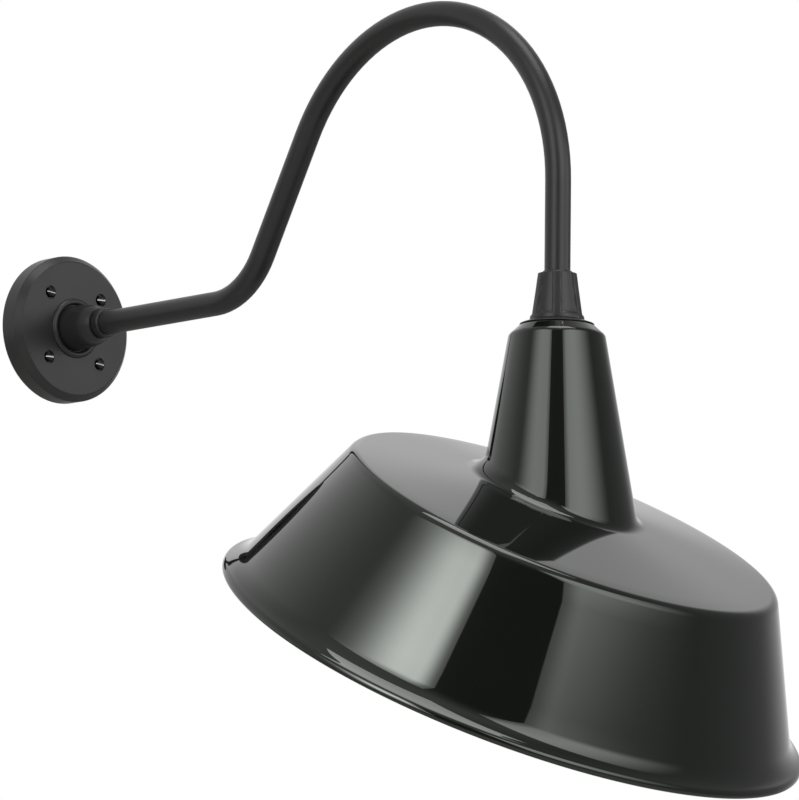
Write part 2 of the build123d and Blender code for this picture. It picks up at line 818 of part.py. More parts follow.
# ---------------------------------------------------------------- supply cable and leads
with BuildPart() as supply_cable:
    with BuildLine(Plane.YZ) as cable_line:
        c1 = Line((-sleeve_start, 0), (-arm_run, 0))
        c2 = JernArc(c1 @ 1, c1 % 1, rise_bend_r, -rise_angle)
        c3 = Line(c2 @ 1, (c2 @ 1) + (c2 % 1) * rise_run)
        c4 = JernArc(c3 @ 1, c3 % 1, crown_r, 90 + rise_angle)
        Line(c4 @ 1, (drop_y, pipe_end_z))
    with BuildSketch(wall_plane(sleeve_start)):
        Circle(sleeve_r)
    sweep(path=cable_line.line)
finish(supply_cable.part, "supply_cable")

with BuildPart() as cable_tail:
    with BuildSketch(drop_plane(pipe_end_z)):
        Circle(sleeve_r)
    extrude(amount=-(pipe_end_z - sleeve_end_z))
finish(cable_tail.part, "cable_tail")


def lead(side):
    """One insulated conductor from the sleeve's end to its terminal plate, on the -Y or the +Y side."""
    with BuildPart() as wire:
        with BuildLine(side_plane(drop_y, 0)) as route:
            FilletPolyline(
                (side * lead_step, sleeve_end_z),
                (side * lead_step, sleeve_end_z - lead_straight),
                (side * lead_place, plate_top_z + lead_straight),
                (side * lead_place, plate_top_z),
                radius=lead_bend_r,
            )
        with BuildSketch(drop_plane(sleeve_end_z)):
            with Locations((0, side * lead_step)):
                Circle(lead_r)
        sweep(path=route.line)
    return wire.part


finish(lead(-1), "line_lead")
finish(lead(1), "neutral_lead")
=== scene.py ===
"""Gooseneck barn light for a wall: how each of its pieces looks, on the fixed frame of its CAD model, in metres."""

from math import cos, pi, radians, sin, tan

import bmesh
import bpy
from mathutils import Matrix, Vector


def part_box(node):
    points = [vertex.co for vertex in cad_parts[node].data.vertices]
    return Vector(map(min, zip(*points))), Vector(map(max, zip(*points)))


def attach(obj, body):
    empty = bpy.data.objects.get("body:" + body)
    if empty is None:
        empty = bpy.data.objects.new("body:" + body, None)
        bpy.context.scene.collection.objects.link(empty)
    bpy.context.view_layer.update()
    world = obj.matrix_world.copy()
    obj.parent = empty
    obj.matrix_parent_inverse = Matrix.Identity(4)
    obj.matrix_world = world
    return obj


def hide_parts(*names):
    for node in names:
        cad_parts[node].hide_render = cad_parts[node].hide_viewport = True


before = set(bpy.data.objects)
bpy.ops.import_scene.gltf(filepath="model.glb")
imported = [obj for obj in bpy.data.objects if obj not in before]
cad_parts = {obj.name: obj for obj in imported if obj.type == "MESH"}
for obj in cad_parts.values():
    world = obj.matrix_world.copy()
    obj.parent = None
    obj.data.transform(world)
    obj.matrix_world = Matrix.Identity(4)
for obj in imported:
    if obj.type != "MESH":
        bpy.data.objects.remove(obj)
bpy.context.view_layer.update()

# ---------------------------------------------------------------- studio
# The lantern hangs clear of a white cove. Two softboxes flank the camera, with the dark of the room
# between them, and the cove goes on behind the lantern. The glossy shade shows all of it.
scene = bpy.context.scene
scene.view_settings.view_transform = "Standard"


def linear(hex_colour, alpha=1.0):
    """An sRGB hex colour as the linear values that shaders take."""
    parts = [int(hex_colour[i:i + 2], 16) / 255 for i in (1, 3, 5)]
    return [c / 12.92 if c <= 0.04045 else ((c + 0.055) / 1.055) ** 2.4 for c in parts] + [alpha]


def add_node(tree, kind, settings=None, **inputs):
    """Adds a node, sets its options, and gives each input a value or a link from another node's output. An input
    goes by its name or, as i0, i1 and so on, by its number."""
    node = tree.nodes.new(kind)
    for option, value in (settings or {}).items():
        setattr(node, option, value)
    for name, value in inputs.items():
        by_number = name[0] == "i" and name[1:].isdigit()
        socket = node.inputs[int(name[1:]) if by_number else name.replace("_", " ")]
        if isinstance(value, bpy.types.NodeSocket):
            tree.links.new(value, socket)
        else:
            socket.default_value = value
    return node


dish_low, dish_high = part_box("shade_dish")
neck_low, neck_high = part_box("shade_neck")
subject = Vector((0, (neck_low.y + neck_high.y) / 2, (dish_low.z + neck_high.z) / 2))

# A long lens a few steps away, a little below the lantern and to its left.
view_azimuth = radians(-43.31)
view_elevation = radians(-8.83)
view_roll = radians(0.71)
view_target = Vector((-0.0007, -0.4502, -0.1098))
view_distance = 4.448
view_lens = 238.9
toward = Vector((
    sin(view_azimuth) * cos(view_elevation), -cos(view_azimuth) * cos(view_elevation), sin(view_elevation)
))
right = Vector((cos(view_azimuth), sin(view_azimuth), 0))
up = toward.cross(right)
camera_data = bpy.data.cameras.new("camera")
camera_data.lens = view_lens
camera_data.clip_end = 50
camera = bpy.data.objects.new("camera", camera_data)
scene.collection.objects.link(camera)
axes = Matrix((right, up, toward)).transposed() @ Matrix.Rotation(view_roll, 3, "Z")
camera.matrix_world = Matrix.Translation(view_target + toward * view_distance) @ axes.to_4x4()
scene.camera = camera

world = bpy.data.worlds.new("white_cove")
scene.world = world
world.use_nodes = True
world.node_tree.nodes.clear()
tree = world.node_tree
direction = add_node(tree, "ShaderNodeTexCoord").outputs["Generated"]
split = add_node(tree, "ShaderNodeSeparateXYZ", i0=direction)


def slope(value, start, end, level_at_start, level_at_end):
    """A smooth change of the cove's brightness along one direction."""
    node = add_node(
        tree, "ShaderNodeMapRange", {"interpolation_type": "SMOOTHSTEP"},
        i0=value, i1=start, i2=end, i3=level_at_start, i4=level_at_end,
    )
    return node.outputs["Result"]


# The room behind the camera is dark in the middle and paler to its sides. The cove brightens towards its back
# wall, and has one more pale patch high on the right.
room_ambient = 0.4
lens_side = add_node(tree, "ShaderNodeVectorMath", {"operation": "DOT_PRODUCT"}, i0=direction, i1=toward)
open_side = slope(lens_side.outputs["Value"], 0.9, 0.4, 0.05, slope(split.outputs["X"], -0.3, 0.3, 0.7, 0.3))
back_wall = slope(split.outputs["Y"], 0.3, 0.85, 0.55, 1.0)
high_right = slope(split.outputs["Z"], 0.37, 0.62, 0.0, slope(split.outputs["X"], 0.3, 0.6, 0.0, 0.6))
cove = add_node(tree, "ShaderNodeMath", {"operation": "ADD"}, i0=back_wall, i1=high_right)
behind = slope(split.outputs["Y"], -0.1, 0.4, open_side, cove.outputs[0])
ray = add_node(tree, "ShaderNodeLightPath")
seen = add_node(
    tree, "ShaderNodeMath", {"operation": "MAXIMUM"},
    i0=ray.outputs["Is Glossy Ray"], i1=ray.outputs["Is Transmission Ray"],
)
level = add_node(tree, "ShaderNodeMix", {"data_type": "FLOAT"}, i0=seen.outputs[0], i2=room_ambient, i3=behind)
shown = add_node(
    tree, "ShaderNodeMix", {"data_type": "FLOAT"}, i0=ray.outputs["Is Camera Ray"], i2=level.outputs[0], i3=1.0,
)
background = add_node(tree, "ShaderNodeBackground", i0=(1, 1, 1, 1), i1=shown.outputs[0])
add_node(tree, "ShaderNodeOutputWorld", i0=background.outputs[0])


def softbox(name, azimuth, elevation, away, width, height, radiance, across, upwards):
    """A rectangular area lamp that faces the shade from a direction in degrees, given its brightness when looked
    at. Its face fades as real diffusers do: (place, share) stops run across it and up it."""
    lamp = bpy.data.lights.new(name, "AREA")
    lamp.shape = "RECTANGLE"
    lamp.size = width
    lamp.size_y = height
    lamp.energy = radiance * pi * width * height
    lamp.use_nodes = True
    tree = lamp.node_tree
    face = add_node(tree, "ShaderNodeSeparateXYZ", i0=add_node(tree, "ShaderNodeNewGeometry").outputs["Parametric"])
    shares = []
    for side, stops in (("X", across), ("Y", upwards)):
        ramp = add_node(tree, "ShaderNodeValToRGB", i0=face.outputs[side])
        ramp.color_ramp.interpolation = "EASE"
        for stop, (place, share) in enumerate(stops):
            element = ramp.color_ramp.elements[stop] if stop < 2 else ramp.color_ramp.elements.new(place)
            element.position = place
            element.color = (share, share, share, 1)
        shares.append(ramp.outputs["Color"])
    fade = add_node(tree, "ShaderNodeMath", {"operation": "MULTIPLY"}, i0=shares[0], i1=shares[1])
    tree.links.new(fade.outputs[0], tree.nodes["Emission"].inputs["Strength"])
    holder = bpy.data.objects.new(name, lamp)
    scene.collection.objects.link(holder)
    a, e = radians(azimuth), radians(elevation)
    to_lamp = Vector((sin(a) * cos(e), -cos(a) * cos(e), sin(e)))
    holder.location = subject + to_lamp * away
    holder.rotation_euler = to_lamp.to_track_quat("Z", "Y").to_euler()
    return holder


# Each softbox is soft towards the outside of the set, so that its reflection has no hard edge there. The two
# strips reach only the pieces that the last section gives them.
even = [(0.0, 1.0), (1.0, 1.0)]
softbox(
    "left_softbox", azimuth=-84, elevation=20, away=4.0, width=3.4, height=3.4, radiance=3.4,
    across=[(0.0, 0.0), (0.62, 1.0), (0.85, 1.0), (1.0, 0.45)], upwards=even,
)
softbox(
    "right_softbox", azimuth=6.5, elevation=18, away=4.0, width=5.2, height=3.8, radiance=3.9,
    across=[(0.0, 0.35), (0.15, 0.95), (0.3, 1.0), (1.0, 0.0)], upwards=[(0.1, 0.08), (0.47, 1.0)],
)
softbox(
    "top_softbox", azimuth=0, elevation=82, away=3.0, width=1.6, height=1.6, radiance=4.0,
    across=even, upwards=even,
)
strip = softbox(
    "left_strip", azimuth=-79, elevation=26, away=4.0, width=2.6, height=2.6, radiance=9.8,
    across=[(0.0, 0.0), (0.58, 1.0), (0.78, 0.85), (1.0, 0.0)],
    upwards=[(0.0, 0.0), (0.12, 1.0), (0.36, 1.0), (0.9, 0.1)],
)
strip_reach = bpy.data.collections.new("strip_reach")
strip.light_linking.receiver_collection = strip_reach
side = softbox(
    "side_strip", azimuth=46, elevation=12, away=4.0, width=2.2, height=2.4, radiance=2.0,
    across=even, upwards=even,
)
side_reach = bpy.data.collections.new("side_reach")
side.light_linking.receiver_collection = side_reach

# A pale matte floor, well below the lantern. From underneath it can be looked through.
floor_drop = 1.7
floor_half = 12
floor_mesh = bpy.data.meshes.new("floor")
floor_form = bmesh.new()
bmesh.ops.create_grid(floor_form, x_segments=1, y_segments=1, size=floor_half)
floor_form.to_mesh(floor_mesh)
floor_form.free()
floor = bpy.data.objects.new("floor", floor_mesh)
floor.location.z = -floor_drop
scene.collection.objects.link(floor)
matte_floor = bpy.data.materials.new("pale_matte_floor")
matte_floor.use_nodes = True
tree = matte_floor.node_tree
tree.nodes["Principled BSDF"].inputs["Base Color"].default_value = linear("#d8d8d6")
tree.nodes["Principled BSDF"].inputs["Roughness"].default_value = 0.9
underside = add_node(tree, "ShaderNodeNewGeometry").outputs["Backfacing"]
clear = add_node(tree, "ShaderNodeBsdfTransparent")
open_below = add_node(
    tree, "ShaderNodeMixShader", i0=underside, i1=tree.nodes["Principled BSDF"].outputs[0], i2=clear.outputs[0],
)
tree.links.new(open_below.outputs[0], tree.nodes["Material Output"].inputs["Surface"])
floor_mesh.materials.append(matte_floor)

# ---------------------------------------------------------------- wall gasket and flange seal
# Two flat rings punched from closed-cell rubber sheet, 1.6 and 2.2 mm thick. One lies between the wall plate
# and the wall, the other between the dished flange and the shade, and both are held by what presses on them.
mm = 0.001


def finish_tree(name, colour, **sockets):
    """A new material: its node tree and its shader, with every socket set that is the same all over."""
    material = bpy.data.materials.new(name)
    material.use_nodes = True
    shader = material.node_tree.nodes["Principled BSDF"]
    shader.inputs["Base Color"].default_value = linear(colour)
    for socket, value in sockets.items():
        shader.inputs[socket.replace("_", " ")].default_value = value
    return material, material.node_tree, shader


def mottle(tree, size, detail=2.0, stretch=(1, 1, 1)):
    """Noise fixed to the piece itself, whose patches are about as wide as the given real size in metres."""
    place = add_node(tree, "ShaderNodeTexCoord").outputs["Object"]
    place = add_node(tree, "ShaderNodeMapping", i0=place, i3=stretch).outputs["Vector"]
    return add_node(tree, "ShaderNodeTexNoise", Vector=place, Scale=1 / size, Detail=detail).outputs["Fac"]


def spread(tree, pattern, low, high, from_low=0.3, from_high=0.7):
    """Turns a pattern's usual range into the range of a roughness or a height."""
    return add_node(
        tree, "ShaderNodeMapRange", i0=pattern, i1=from_low, i2=from_high, i3=low, i4=high
    ).outputs["Result"]


def tint(tree, pattern, first, second):
    """Colours a pattern between two sRGB colours."""
    mix = add_node(tree, "ShaderNodeMix", {"data_type": "RGBA"}, i0=pattern, i6=linear(first), i7=linear(second))
    return mix.outputs[2]


def raise_skin(tree, shader, pattern, height):
    """Lets a pattern stand up from the surface by a real height in metres."""
    bump = add_node(tree, "ShaderNodeBump", Height=pattern, Distance=height, Strength=1.0)
    tree.links.new(bump.outputs["Normal"], shader.inputs["Normal"])


def dress(material, *nodes):
    """Gives carried-over pieces of the frame their finish."""
    for name in nodes:
        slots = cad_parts[name].data.materials
        slots.clear()
        slots.append(material)


# Moulded EPDM sheet: dark grey rather than black, with the fine open grain of its skin and a dusty dullness.
sheet_rubber, tree, shader = finish_tree("closed_cell_rubber", "#191919", IOR=1.52, Specular_IOR_Level=0.35)
grain = mottle(tree, 0.9 * mm, 4.0)
tree.links.new(tint(tree, mottle(tree, 14 * mm), "#151515", "#202020"), shader.inputs["Base Color"])
tree.links.new(spread(tree, grain, 0.62, 0.82), shader.inputs["Roughness"])
raise_skin(tree, shader, grain, 0.05 * mm)
dress(sheet_rubber, "wall_gasket", "flange_seal")

# ---------------------------------------------------------------- wall plate
# A round die-cast aluminium plate with a thick hub for the pipe, deburred and powder coated charcoal black.
# The coat flows out to a satin skin with a faint orange peel, and is a little thinner on the edges.
coat_peel = 1.7 * mm
coat_height = 0.012 * mm


def powder_coat(name, peel, height, roughness_low, roughness_high):
    """Charcoal polyester powder coat: a satin skin, its orange peel drawn a little coarser than the real one."""
    material, tree, shader = finish_tree(name, "#1f1f1f", IOR=1.5, Specular_IOR_Level=0.3)
    skin = mottle(tree, peel, 1.0)
    patches = mottle(tree, 38 * mm, 2.0)
    tree.links.new(tint(tree, patches, "#1c1c1c", "#212121"), shader.inputs["Base Color"])
    tree.links.new(spread(tree, patches, roughness_low, roughness_high), shader.inputs["Roughness"])
    raise_skin(tree, shader, skin, height)
    return material


cast_coat = powder_coat("satin_powder_coat_on_casting", coat_peel, coat_height, 0.34, 0.40)
dress(cast_coat, "wall_plate")

# ---------------------------------------------------------------- plate screws and earth screw
# Four slotted pan heads of blackened steel that hold the plate to the outlet box. Each has a burr-free slot with
# softened edges, and a rolled thread behind the wall's face. The green dyed screw takes the earth wire.
screw_low, screw_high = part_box("plate_screws")
head_r = 4.6 * mm
head_h = 3.6 * mm
head_round = 1.5 * mm
head_flat = 1.2 * mm
head_break = 0.2 * mm
head_sides = 32
shank_r = 2.1 * mm
thread_r = 2.4 * mm
thread_root = 1.95 * mm
thread_pitch = 0.8 * mm
thread_rows = 6
point_r = 1.68 * mm
slot_half = 0.65 * mm
slot_flare = 0.3 * mm
slot_depth = 1.5 * mm
slot_reach = 5.52 * mm
screw_place = screw_high.x - head_r


def turn(form, profile, columns, place, sculpt=None):
    """Turns a profile of (radius, height) about z. Ends on the axis close in a pole, other ends meet in a ring.
    sculpt(radius, height, angle) gives the radius there."""
    rings = []
    for radius, height in profile:
        angles = [2 * pi * k / columns for k in range(columns if radius else 1)]
        reach = [sculpt(radius, height, a) if sculpt and radius else radius for a in angles]
        rings.append([
            form.verts.new(place @ Vector((r * cos(a), r * sin(a), height))) for r, a in zip(reach, angles)
        ])
    if profile[0][0]:
        rings.append(rings[0])
    for low, high in zip(rings, rings[1:]):
        for k in range(columns):
            n = (k + 1) % columns
            corners = [low[k % len(low)], low[n % len(low)], high[n % len(high)], high[k % len(high)]]
            form.faces.new(list(dict.fromkeys(corners)))


def make_piece(name, form, material, crease=30):
    """Closes a form into a mesh object, smooth but for the edges that turn by more than crease degrees."""
    bmesh.ops.recalc_face_normals(form, faces=form.faces)
    mesh = bpy.data.meshes.new(name)
    form.to_mesh(mesh)
    form.free()
    mesh.materials.append(material)
    for face in mesh.polygons:
        face.use_smooth = True
    mesh.set_sharp_from_angle(angle=radians(crease))
    piece = bpy.data.objects.new(name, mesh)
    scene.collection.objects.link(piece)
    return piece


def cut_away(piece, form, skin, crease=30):
    """Cuts a form out of a piece for good, and gives the cut's faces a material."""
    cutter = make_piece(piece.name + "_cutter", form, skin)
    cut = piece.modifiers.new("cut", "BOOLEAN")
    cut.material_mode = "TRANSFER"
    cut.object = cutter
    cut.solver = "EXACT"
    shaped = bpy.data.meshes.new_from_object(piece.evaluated_get(bpy.context.evaluated_depsgraph_get()))
    piece.modifiers.clear()
    piece.data = shaped
    bpy.data.objects.remove(cutter)
    for face in shaped.polygons:
        face.use_smooth = True
    shaped.set_sharp_from_angle(angle=radians(crease))


def rolled_thread(root, pitch, top):
    """A sculpt for turn(): below its top, a rounded thread winds between its root and the profile's radius."""
    def sculpt(radius, height, angle):
        wave = 0.5 + 0.5 * cos(2 * pi * (height / pitch - angle / (2 * pi)))
        return root + (radius - root) * wave if height < top else radius
    return sculpt


# Black oxide on steel: a thin conversion skin, so the metal's own sheen shows through it, brownish where rubbed.
black_oxide, tree, shader = finish_tree("black_oxide_steel", "#202020", Metallic=1.0)
rub = mottle(tree, 2.5 * mm, 3.0)
tree.links.new(tint(tree, rub, "#191919", "#262626"), shader.inputs["Base Color"])
tree.links.new(spread(tree, rub, 0.30, 0.44), shader.inputs["Roughness"])
raise_skin(tree, shader, mottle(tree, 0.5 * mm), 0.006 * mm)

# Bare steel where the screwdriver has turned in the slots, with fine scores along the slot. Its bright colour is
# partly that real wear and partly a painted highlight, so that each slot shows as a bright line.
slot_steel_with_highlight, tree, shader = finish_tree("bare_steel_with_painted_highlight_in_slots", "#9a9a98", Metallic=1.0)
scores = mottle(tree, 0.6 * mm, 2.0, (0.2, 1, 1))
tree.links.new(tint(tree, scores, "#7c7c7a", "#b0b0ae"), shader.inputs["Base Color"])
tree.links.new(spread(tree, scores, 0.2, 0.34), shader.inputs["Roughness"])

form = bmesh.new()
slots = bmesh.new()
seat = -screw_low.y - head_h
quarter = [radians(15 * k) for k in range(7)]
dome = [
    (head_r - head_round * (1 - cos(a)), seat + head_h - head_round * (1 - sin(a))) for a in quarter
]
winding = round(screw_high.y / (thread_pitch / thread_rows))
for side in (-1, 1):
    for row in (-1, 1):
        place = Matrix.Translation((side * screw_place, 0, row * screw_place)) @ Matrix.Rotation(pi / 2, 4, "X")
        turn(form, [
            (0, seat + head_h), (head_flat, seat + head_h), *reversed(dome), (head_r, seat + head_break),
            (head_r - head_break, seat), (shank_r, seat), (shank_r, 0.0),
            *((thread_r, -k * thread_pitch / thread_rows) for k in range(1, winding)),
            (point_r, -screw_high.y), (0, -screw_high.y),
        ], head_sides, place, rolled_thread(thread_root, thread_pitch, 0.0))
        # No two slots were driven to quite the same angle.
        place = place @ Matrix.Rotation(radians(4 * side * row - 2), 4, "Z")
        section = [
            (-slot_half - slot_flare, head_h + slot_flare), (-slot_half - slot_flare / 2, head_h - slot_flare / 2),
            (-slot_half, head_h - slot_flare), (-slot_half, head_h - slot_depth), (slot_half, head_h - slot_depth),
            (slot_half, head_h - slot_flare), (slot_half + slot_flare / 2, head_h - slot_flare / 2),
            (slot_half + slot_flare, head_h + slot_flare),
        ]
        ends = [
            [slots.verts.new(place @ Vector((x, y, seat + z))) for y, z in section]
            for x in (-slot_reach, slot_reach)
        ]
        slots.faces.new(ends[0])
        slots.faces.new(ends[1])
        for k in range(len(section)):
            n = (k + 1) % len(section)
            slots.faces.new([ends[0][k], ends[0][n], ends[1][n], ends[1][k]])
pan_heads = make_piece("slotted_plate_screws", form, black_oxide)
# The slots' faces take the bright steel: a painted highlight along each slot.
cut_away(pan_heads, slots, slot_steel_with_highlight)
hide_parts("plate_screws")
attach(pan_heads, "wall_base")

# Green dye over zinc: a clear bright colour, deeper where it pooled.
green_dye, tree, shader = finish_tree("green_dyed_zinc", "#1f6b38", Metallic=0.85)
pool = mottle(tree, 3 * mm, 3.0)
tree.links.new(tint(tree, pool, "#18552c", "#2a8247"), shader.inputs["Base Color"])
tree.links.new(spread(tree, pool, 0.30, 0.42), shader.inputs["Roughness"])
dress(green_dye, "earth_screw")

# ---------------------------------------------------------------- hub set screw and cap set screw
# Two socket grub screws of blackened steel, each sunk in its own tapped hole. One stops the pipe in the hub,
# the other stops the cap on the pipe.
dress(black_oxide, "hub_set_screw", "cap_set_screw")

# ---------------------------------------------------------------- gooseneck arm and lock ring
# Half inch steel pipe, bent cold in one sweep and powder coated with its turned lock ring at the hub.
# The coat is the same charcoal as the casting's, smoother because the drawn pipe under it is.
pipe_coat = powder_coat("satin_powder_coat_on_pipe", 1.9 * mm, 0.008 * mm, 0.33, 0.39)
dress(pipe_coat, "gooseneck_arm", "arm_lock_ring")

# ---------------------------------------------------------------- supply cable and its tail
# Three cores in a woven glass-fibre sleeve that stands the heat of the lamp. It lies in the pipe and comes out
# of the cap's stem inside the shade's neck.
braid_pitch = 2.4 * mm
braid_strands = 8


def braid(tree, axis_y, pitch, strands):
    """Two sets of strands that wind opposite ways about an upright line, as a height from 0 to 1."""
    place = add_node(tree, "ShaderNodeTexCoord").outputs["Object"]
    split = add_node(tree, "ShaderNodeSeparateXYZ", i0=place)
    out = add_node(tree, "ShaderNodeMath", {"operation": "SUBTRACT"}, i0=split.outputs["Y"], i1=axis_y)
    turned = add_node(tree, "ShaderNodeMath", {"operation": "ARCTAN2"}, i0=out.outputs[0], i1=split.outputs["X"])
    winds = []
    for hand in (-1, 1):
        round_about = add_node(
            tree, "ShaderNodeMath", {"operation": "MULTIPLY"}, i0=turned.outputs[0], i1=hand * strands,
        )
        wind = add_node(
            tree, "ShaderNodeMath", {"operation": "MULTIPLY_ADD"},
            i0=split.outputs["Z"], i1=2 * pi / pitch, i2=round_about.outputs[0],
        )
        winds.append(add_node(tree, "ShaderNodeMath", {"operation": "SINE"}, i0=wind.outputs[0]).outputs[0])
    crossed = add_node(tree, "ShaderNodeMath", {"operation": "MAXIMUM"}, i0=winds[0], i1=winds[1]).outputs[0]
    return spread(tree, crossed, 0.0, 1.0, -1.0, 1.0)


# Varnished glass fibre: off-white, dull, the strands standing proud of the dips between them. The dips are coloured
# darker too, a painted shade between the strands.
glass_braid, tree, shader = finish_tree("woven_glass_fibre_sleeve", "#cfc9b9", IOR=1.52, Roughness=0.72)
weave_and_dip_shade = braid(tree, (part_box("cable_tail")[0].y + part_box("cable_tail")[1].y) / 2, braid_pitch, braid_strands)
tree.links.new(tint(tree, weave_and_dip_shade, "#8f8874", "#d9d4c6"), shader.inputs["Base Color"])
raise_skin(tree, shader, weave_and_dip_shade, 0.12 * mm)
dress(glass_braid, "supply_cable", "cable_tail")

# ---------------------------------------------------------------- fluted cap
# A die-cast aluminium cap that closes the pipe's end. Six straight ribs stand between hollow flutes over a plain
# band, all with cast-soft edges. Its threaded stem goes down through flange, seal, shade and strap.
cap_low, cap_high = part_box("fluted_cap")
drop_y = (cap_low.y + cap_high.y) / 2
collar_h = 2.2 * mm
collar_break = 0.3 * mm
collar_r = 12.1 * mm
stem_long = 18.5 * mm
cap_top = cap_high.z - collar_h
cap_foot = cap_low.z + stem_long
cap_top_r = 16.7 * mm
cap_foot_r = cap_high.x
cap_edge = 0.7 * mm
foot_round = 0.5 * mm
cap_sides = 240
band_h = 3.4 * mm
ledge_h = 2.2 * mm
rib_count = 6
rib_turn = radians(45)
rib_half = 3.7 * mm
rib_soft = 1.1 * mm
flute = 1.2 * mm
flute_start = 1.5 * mm
stem_r = 11.0 * mm
stem_bore = 7.2 * mm
stem_pitch = 1.6 * mm
stem_rows = 6
stem_relief = 0.7 * mm
stem_fillet = 0.4 * mm
stem_neck = 0.5 * mm
stem_plain_end = 1.5 * mm
pipe_bore = 10.75 * mm
pipe_deep = 18.3 * mm
pipe_seat = cap_top - pipe_deep
grub_turn = rib_turn - 2 * pi / rib_count
grub_drop = 11.0 * mm
grub_r = 2.05 * mm


def ease(value, low, high):
    """0 below low, 1 above high and a soft curve between."""
    t = min(1.0, max(0.0, (value - low) / (high - low)))
    return t * t * (3 - 2 * t)


stem_thread = rolled_thread(stem_r - stem_relief, stem_pitch, cap_foot - stem_neck - 0.1 * mm)


def ribs(radius, height, angle):
    """Sinks the flutes between the ribs, and winds the thread on the stem."""
    if height < cap_foot:
        return stem_thread(radius, height, angle) if radius > stem_bore else radius
    step = 2 * pi / rib_count
    off = (angle - rib_turn + step / 2) % step - step / 2
    valley = ease(abs(radius * sin(off)), rib_half - rib_soft / 2, rib_half + rib_soft / 2)
    above_band = ease(height, cap_foot + band_h, cap_foot + band_h + ledge_h)
    outer = ease(radius, collar_r + collar_h, cap_top_r - flute_start)
    return radius - flute * valley * above_band * outer


def cone_r(height):
    """The cap's outer radius at a height."""
    return cap_top_r + (cap_foot_r - cap_top_r) * (cap_top - height) / (cap_top - cap_foot)


side_top = cap_top - cap_edge
side_foot = cap_foot + band_h + ledge_h
collar_side = cap_high.z - collar_break
profile = [(collar_r - collar_break, cap_high.z), (collar_r, collar_side)]
profile += [
    (collar_r + collar_h * (1 - cos(a)), collar_side - (collar_h - collar_break) * sin(a)) for a in quarter[1:]
]
profile += [
    (cone_r(side_top) - cap_edge * (1 - sin(a)), side_top + cap_edge * cos(a)) for a in quarter
]
profile += [(cone_r(z), z) for z in (side_top + (side_foot - side_top) * k / 12 for k in range(1, 13))]
profile += [(cone_r(z), z) for z in (side_foot - ledge_h * k / 6 for k in range(1, 7))]
profile += [
    (cone_r(cap_foot) - foot_round * (1 - cos(a)), cap_foot + foot_round * (1 - sin(a))) for a in quarter
]
profile += [(stem_r + stem_fillet, cap_foot), (stem_r, cap_foot - stem_neck)]
turns = round((stem_long - stem_plain_end) / (stem_pitch / stem_rows))
profile += [(stem_r, cap_foot - stem_relief - k * stem_pitch / stem_rows) for k in range(turns)]
profile += [(stem_r - stem_relief, cap_low.z), (stem_bore, cap_low.z), (stem_bore, pipe_seat)]
profile += [(pipe_bore, pipe_seat), (pipe_bore, cap_high.z)]
form = bmesh.new()
turn(form, profile, cap_sides, Matrix.Translation((0, drop_y, 0)), ribs)
cap = make_piece("fluted_casting", form, cast_coat, 40)
hole = bmesh.new()
into_rib = Matrix.Translation((0, drop_y, cap_top - grub_drop)) @ Matrix.Rotation(grub_turn, 4, "Z")
turn(
    hole, [(0, pipe_bore - mm), (grub_r, pipe_bore - mm), (grub_r, cap_foot_r), (0, cap_foot_r)],
    24, into_rib @ Matrix.Rotation(pi / 2, 4, "Y"),
)
cut_away(cap, hole, cast_coat)
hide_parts("fluted_cap")
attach(cap, "shade")

# ---------------------------------------------------------------- dished flange
# A pressed steel washer under the cap, dished so that its rim comes down round the rubber seal. It is powder
# coated like the pipe.
dress(pipe_coat, "shade_flange")

# ---------------------------------------------------------------- shade neck and dish
# Spun steel sheet, the cone welded into the leaning bowl, the rim rolled over a bead. The whole of it is
# dipped and fired in vitreous enamel: black outside and round the rim, white inside to throw the light back.
dish_lean = radians(28.4)
dish_ahead = 12.2 * mm
dish_drop = 203.7 * mm
sheet = 1.2 * mm
shoulder_at = 182.2 * mm
crown_fall = radians(7.17)
shoulder_round = 10.7 * mm
wall_long = 120.9 * mm
wall_fall = radians(64.8)
flare_round = 25.7 * mm
flare_turn = radians(41.2)
bead_round = 5.2 * mm
bead_turn = radians(66.4)
hem_round = 2.3 * mm
hole_under_neck = 47.4 * mm
whole_rings_from = 90 * mm
round_steps = 360
rim_middle = Vector((0, (dish_low.y + dish_high.y) / 2, dish_low.z + dish_high.x * sin(dish_lean)))
up_the_dish = Vector((0, -sin(dish_lean), cos(dish_lean)))
rim_black = 9 * mm
enamel_wave = 55 * mm
enamel_wave_height = 0.03 * mm


def vitreous_enamel(name, middle, upwards, black_below):
    """Black enamel on the faces that look away from the middle, white on those that look towards it."""
    material, tree, shader = finish_tree(name, "#0b0d0b", IOR=1.5, Specular_Tint=(0.94, 1.0, 0.94, 1.0))
    skin = add_node(tree, "ShaderNodeTexCoord")
    out = add_node(tree, "ShaderNodeVectorMath", {"operation": "SUBTRACT"}, i0=skin.outputs["Object"], i1=middle)
    facing = add_node(
        tree, "ShaderNodeVectorMath", {"operation": "DOT_PRODUCT"}, i0=skin.outputs["Normal"], i1=out.outputs[0],
    )
    inner = spread(tree, facing.outputs["Value"], 1.0, 0.0, -0.5 * mm, 0.5 * mm)
    height = add_node(tree, "ShaderNodeVectorMath", {"operation": "DOT_PRODUCT"}, i0=out.outputs[0], i1=upwards)
    above = spread(tree, height.outputs["Value"], 0.0, 1.0, black_below - 0.3 * mm, black_below + 0.3 * mm)
    white = add_node(tree, "ShaderNodeMath", {"operation": "MULTIPLY"}, i0=inner, i1=above).outputs[0]
    cloud = mottle(tree, 70 * mm)
    black_side = tint(tree, cloud, "#0a0c0a", "#0c0e0c")
    white_side = tint(tree, cloud, "#e2e2dc", "#ecece7")
    both = add_node(tree, "ShaderNodeMix", {"data_type": "RGBA"}, i0=white, i6=black_side, i7=white_side)
    tree.links.new(both.outputs[2], shader.inputs["Base Color"])
    tree.links.new(spread(tree, mottle(tree, 26 * mm), 0.025, 0.045), shader.inputs["Roughness"])
    raise_skin(tree, shader, mottle(tree, enamel_wave, 0.0), enamel_wave_height)
    return material


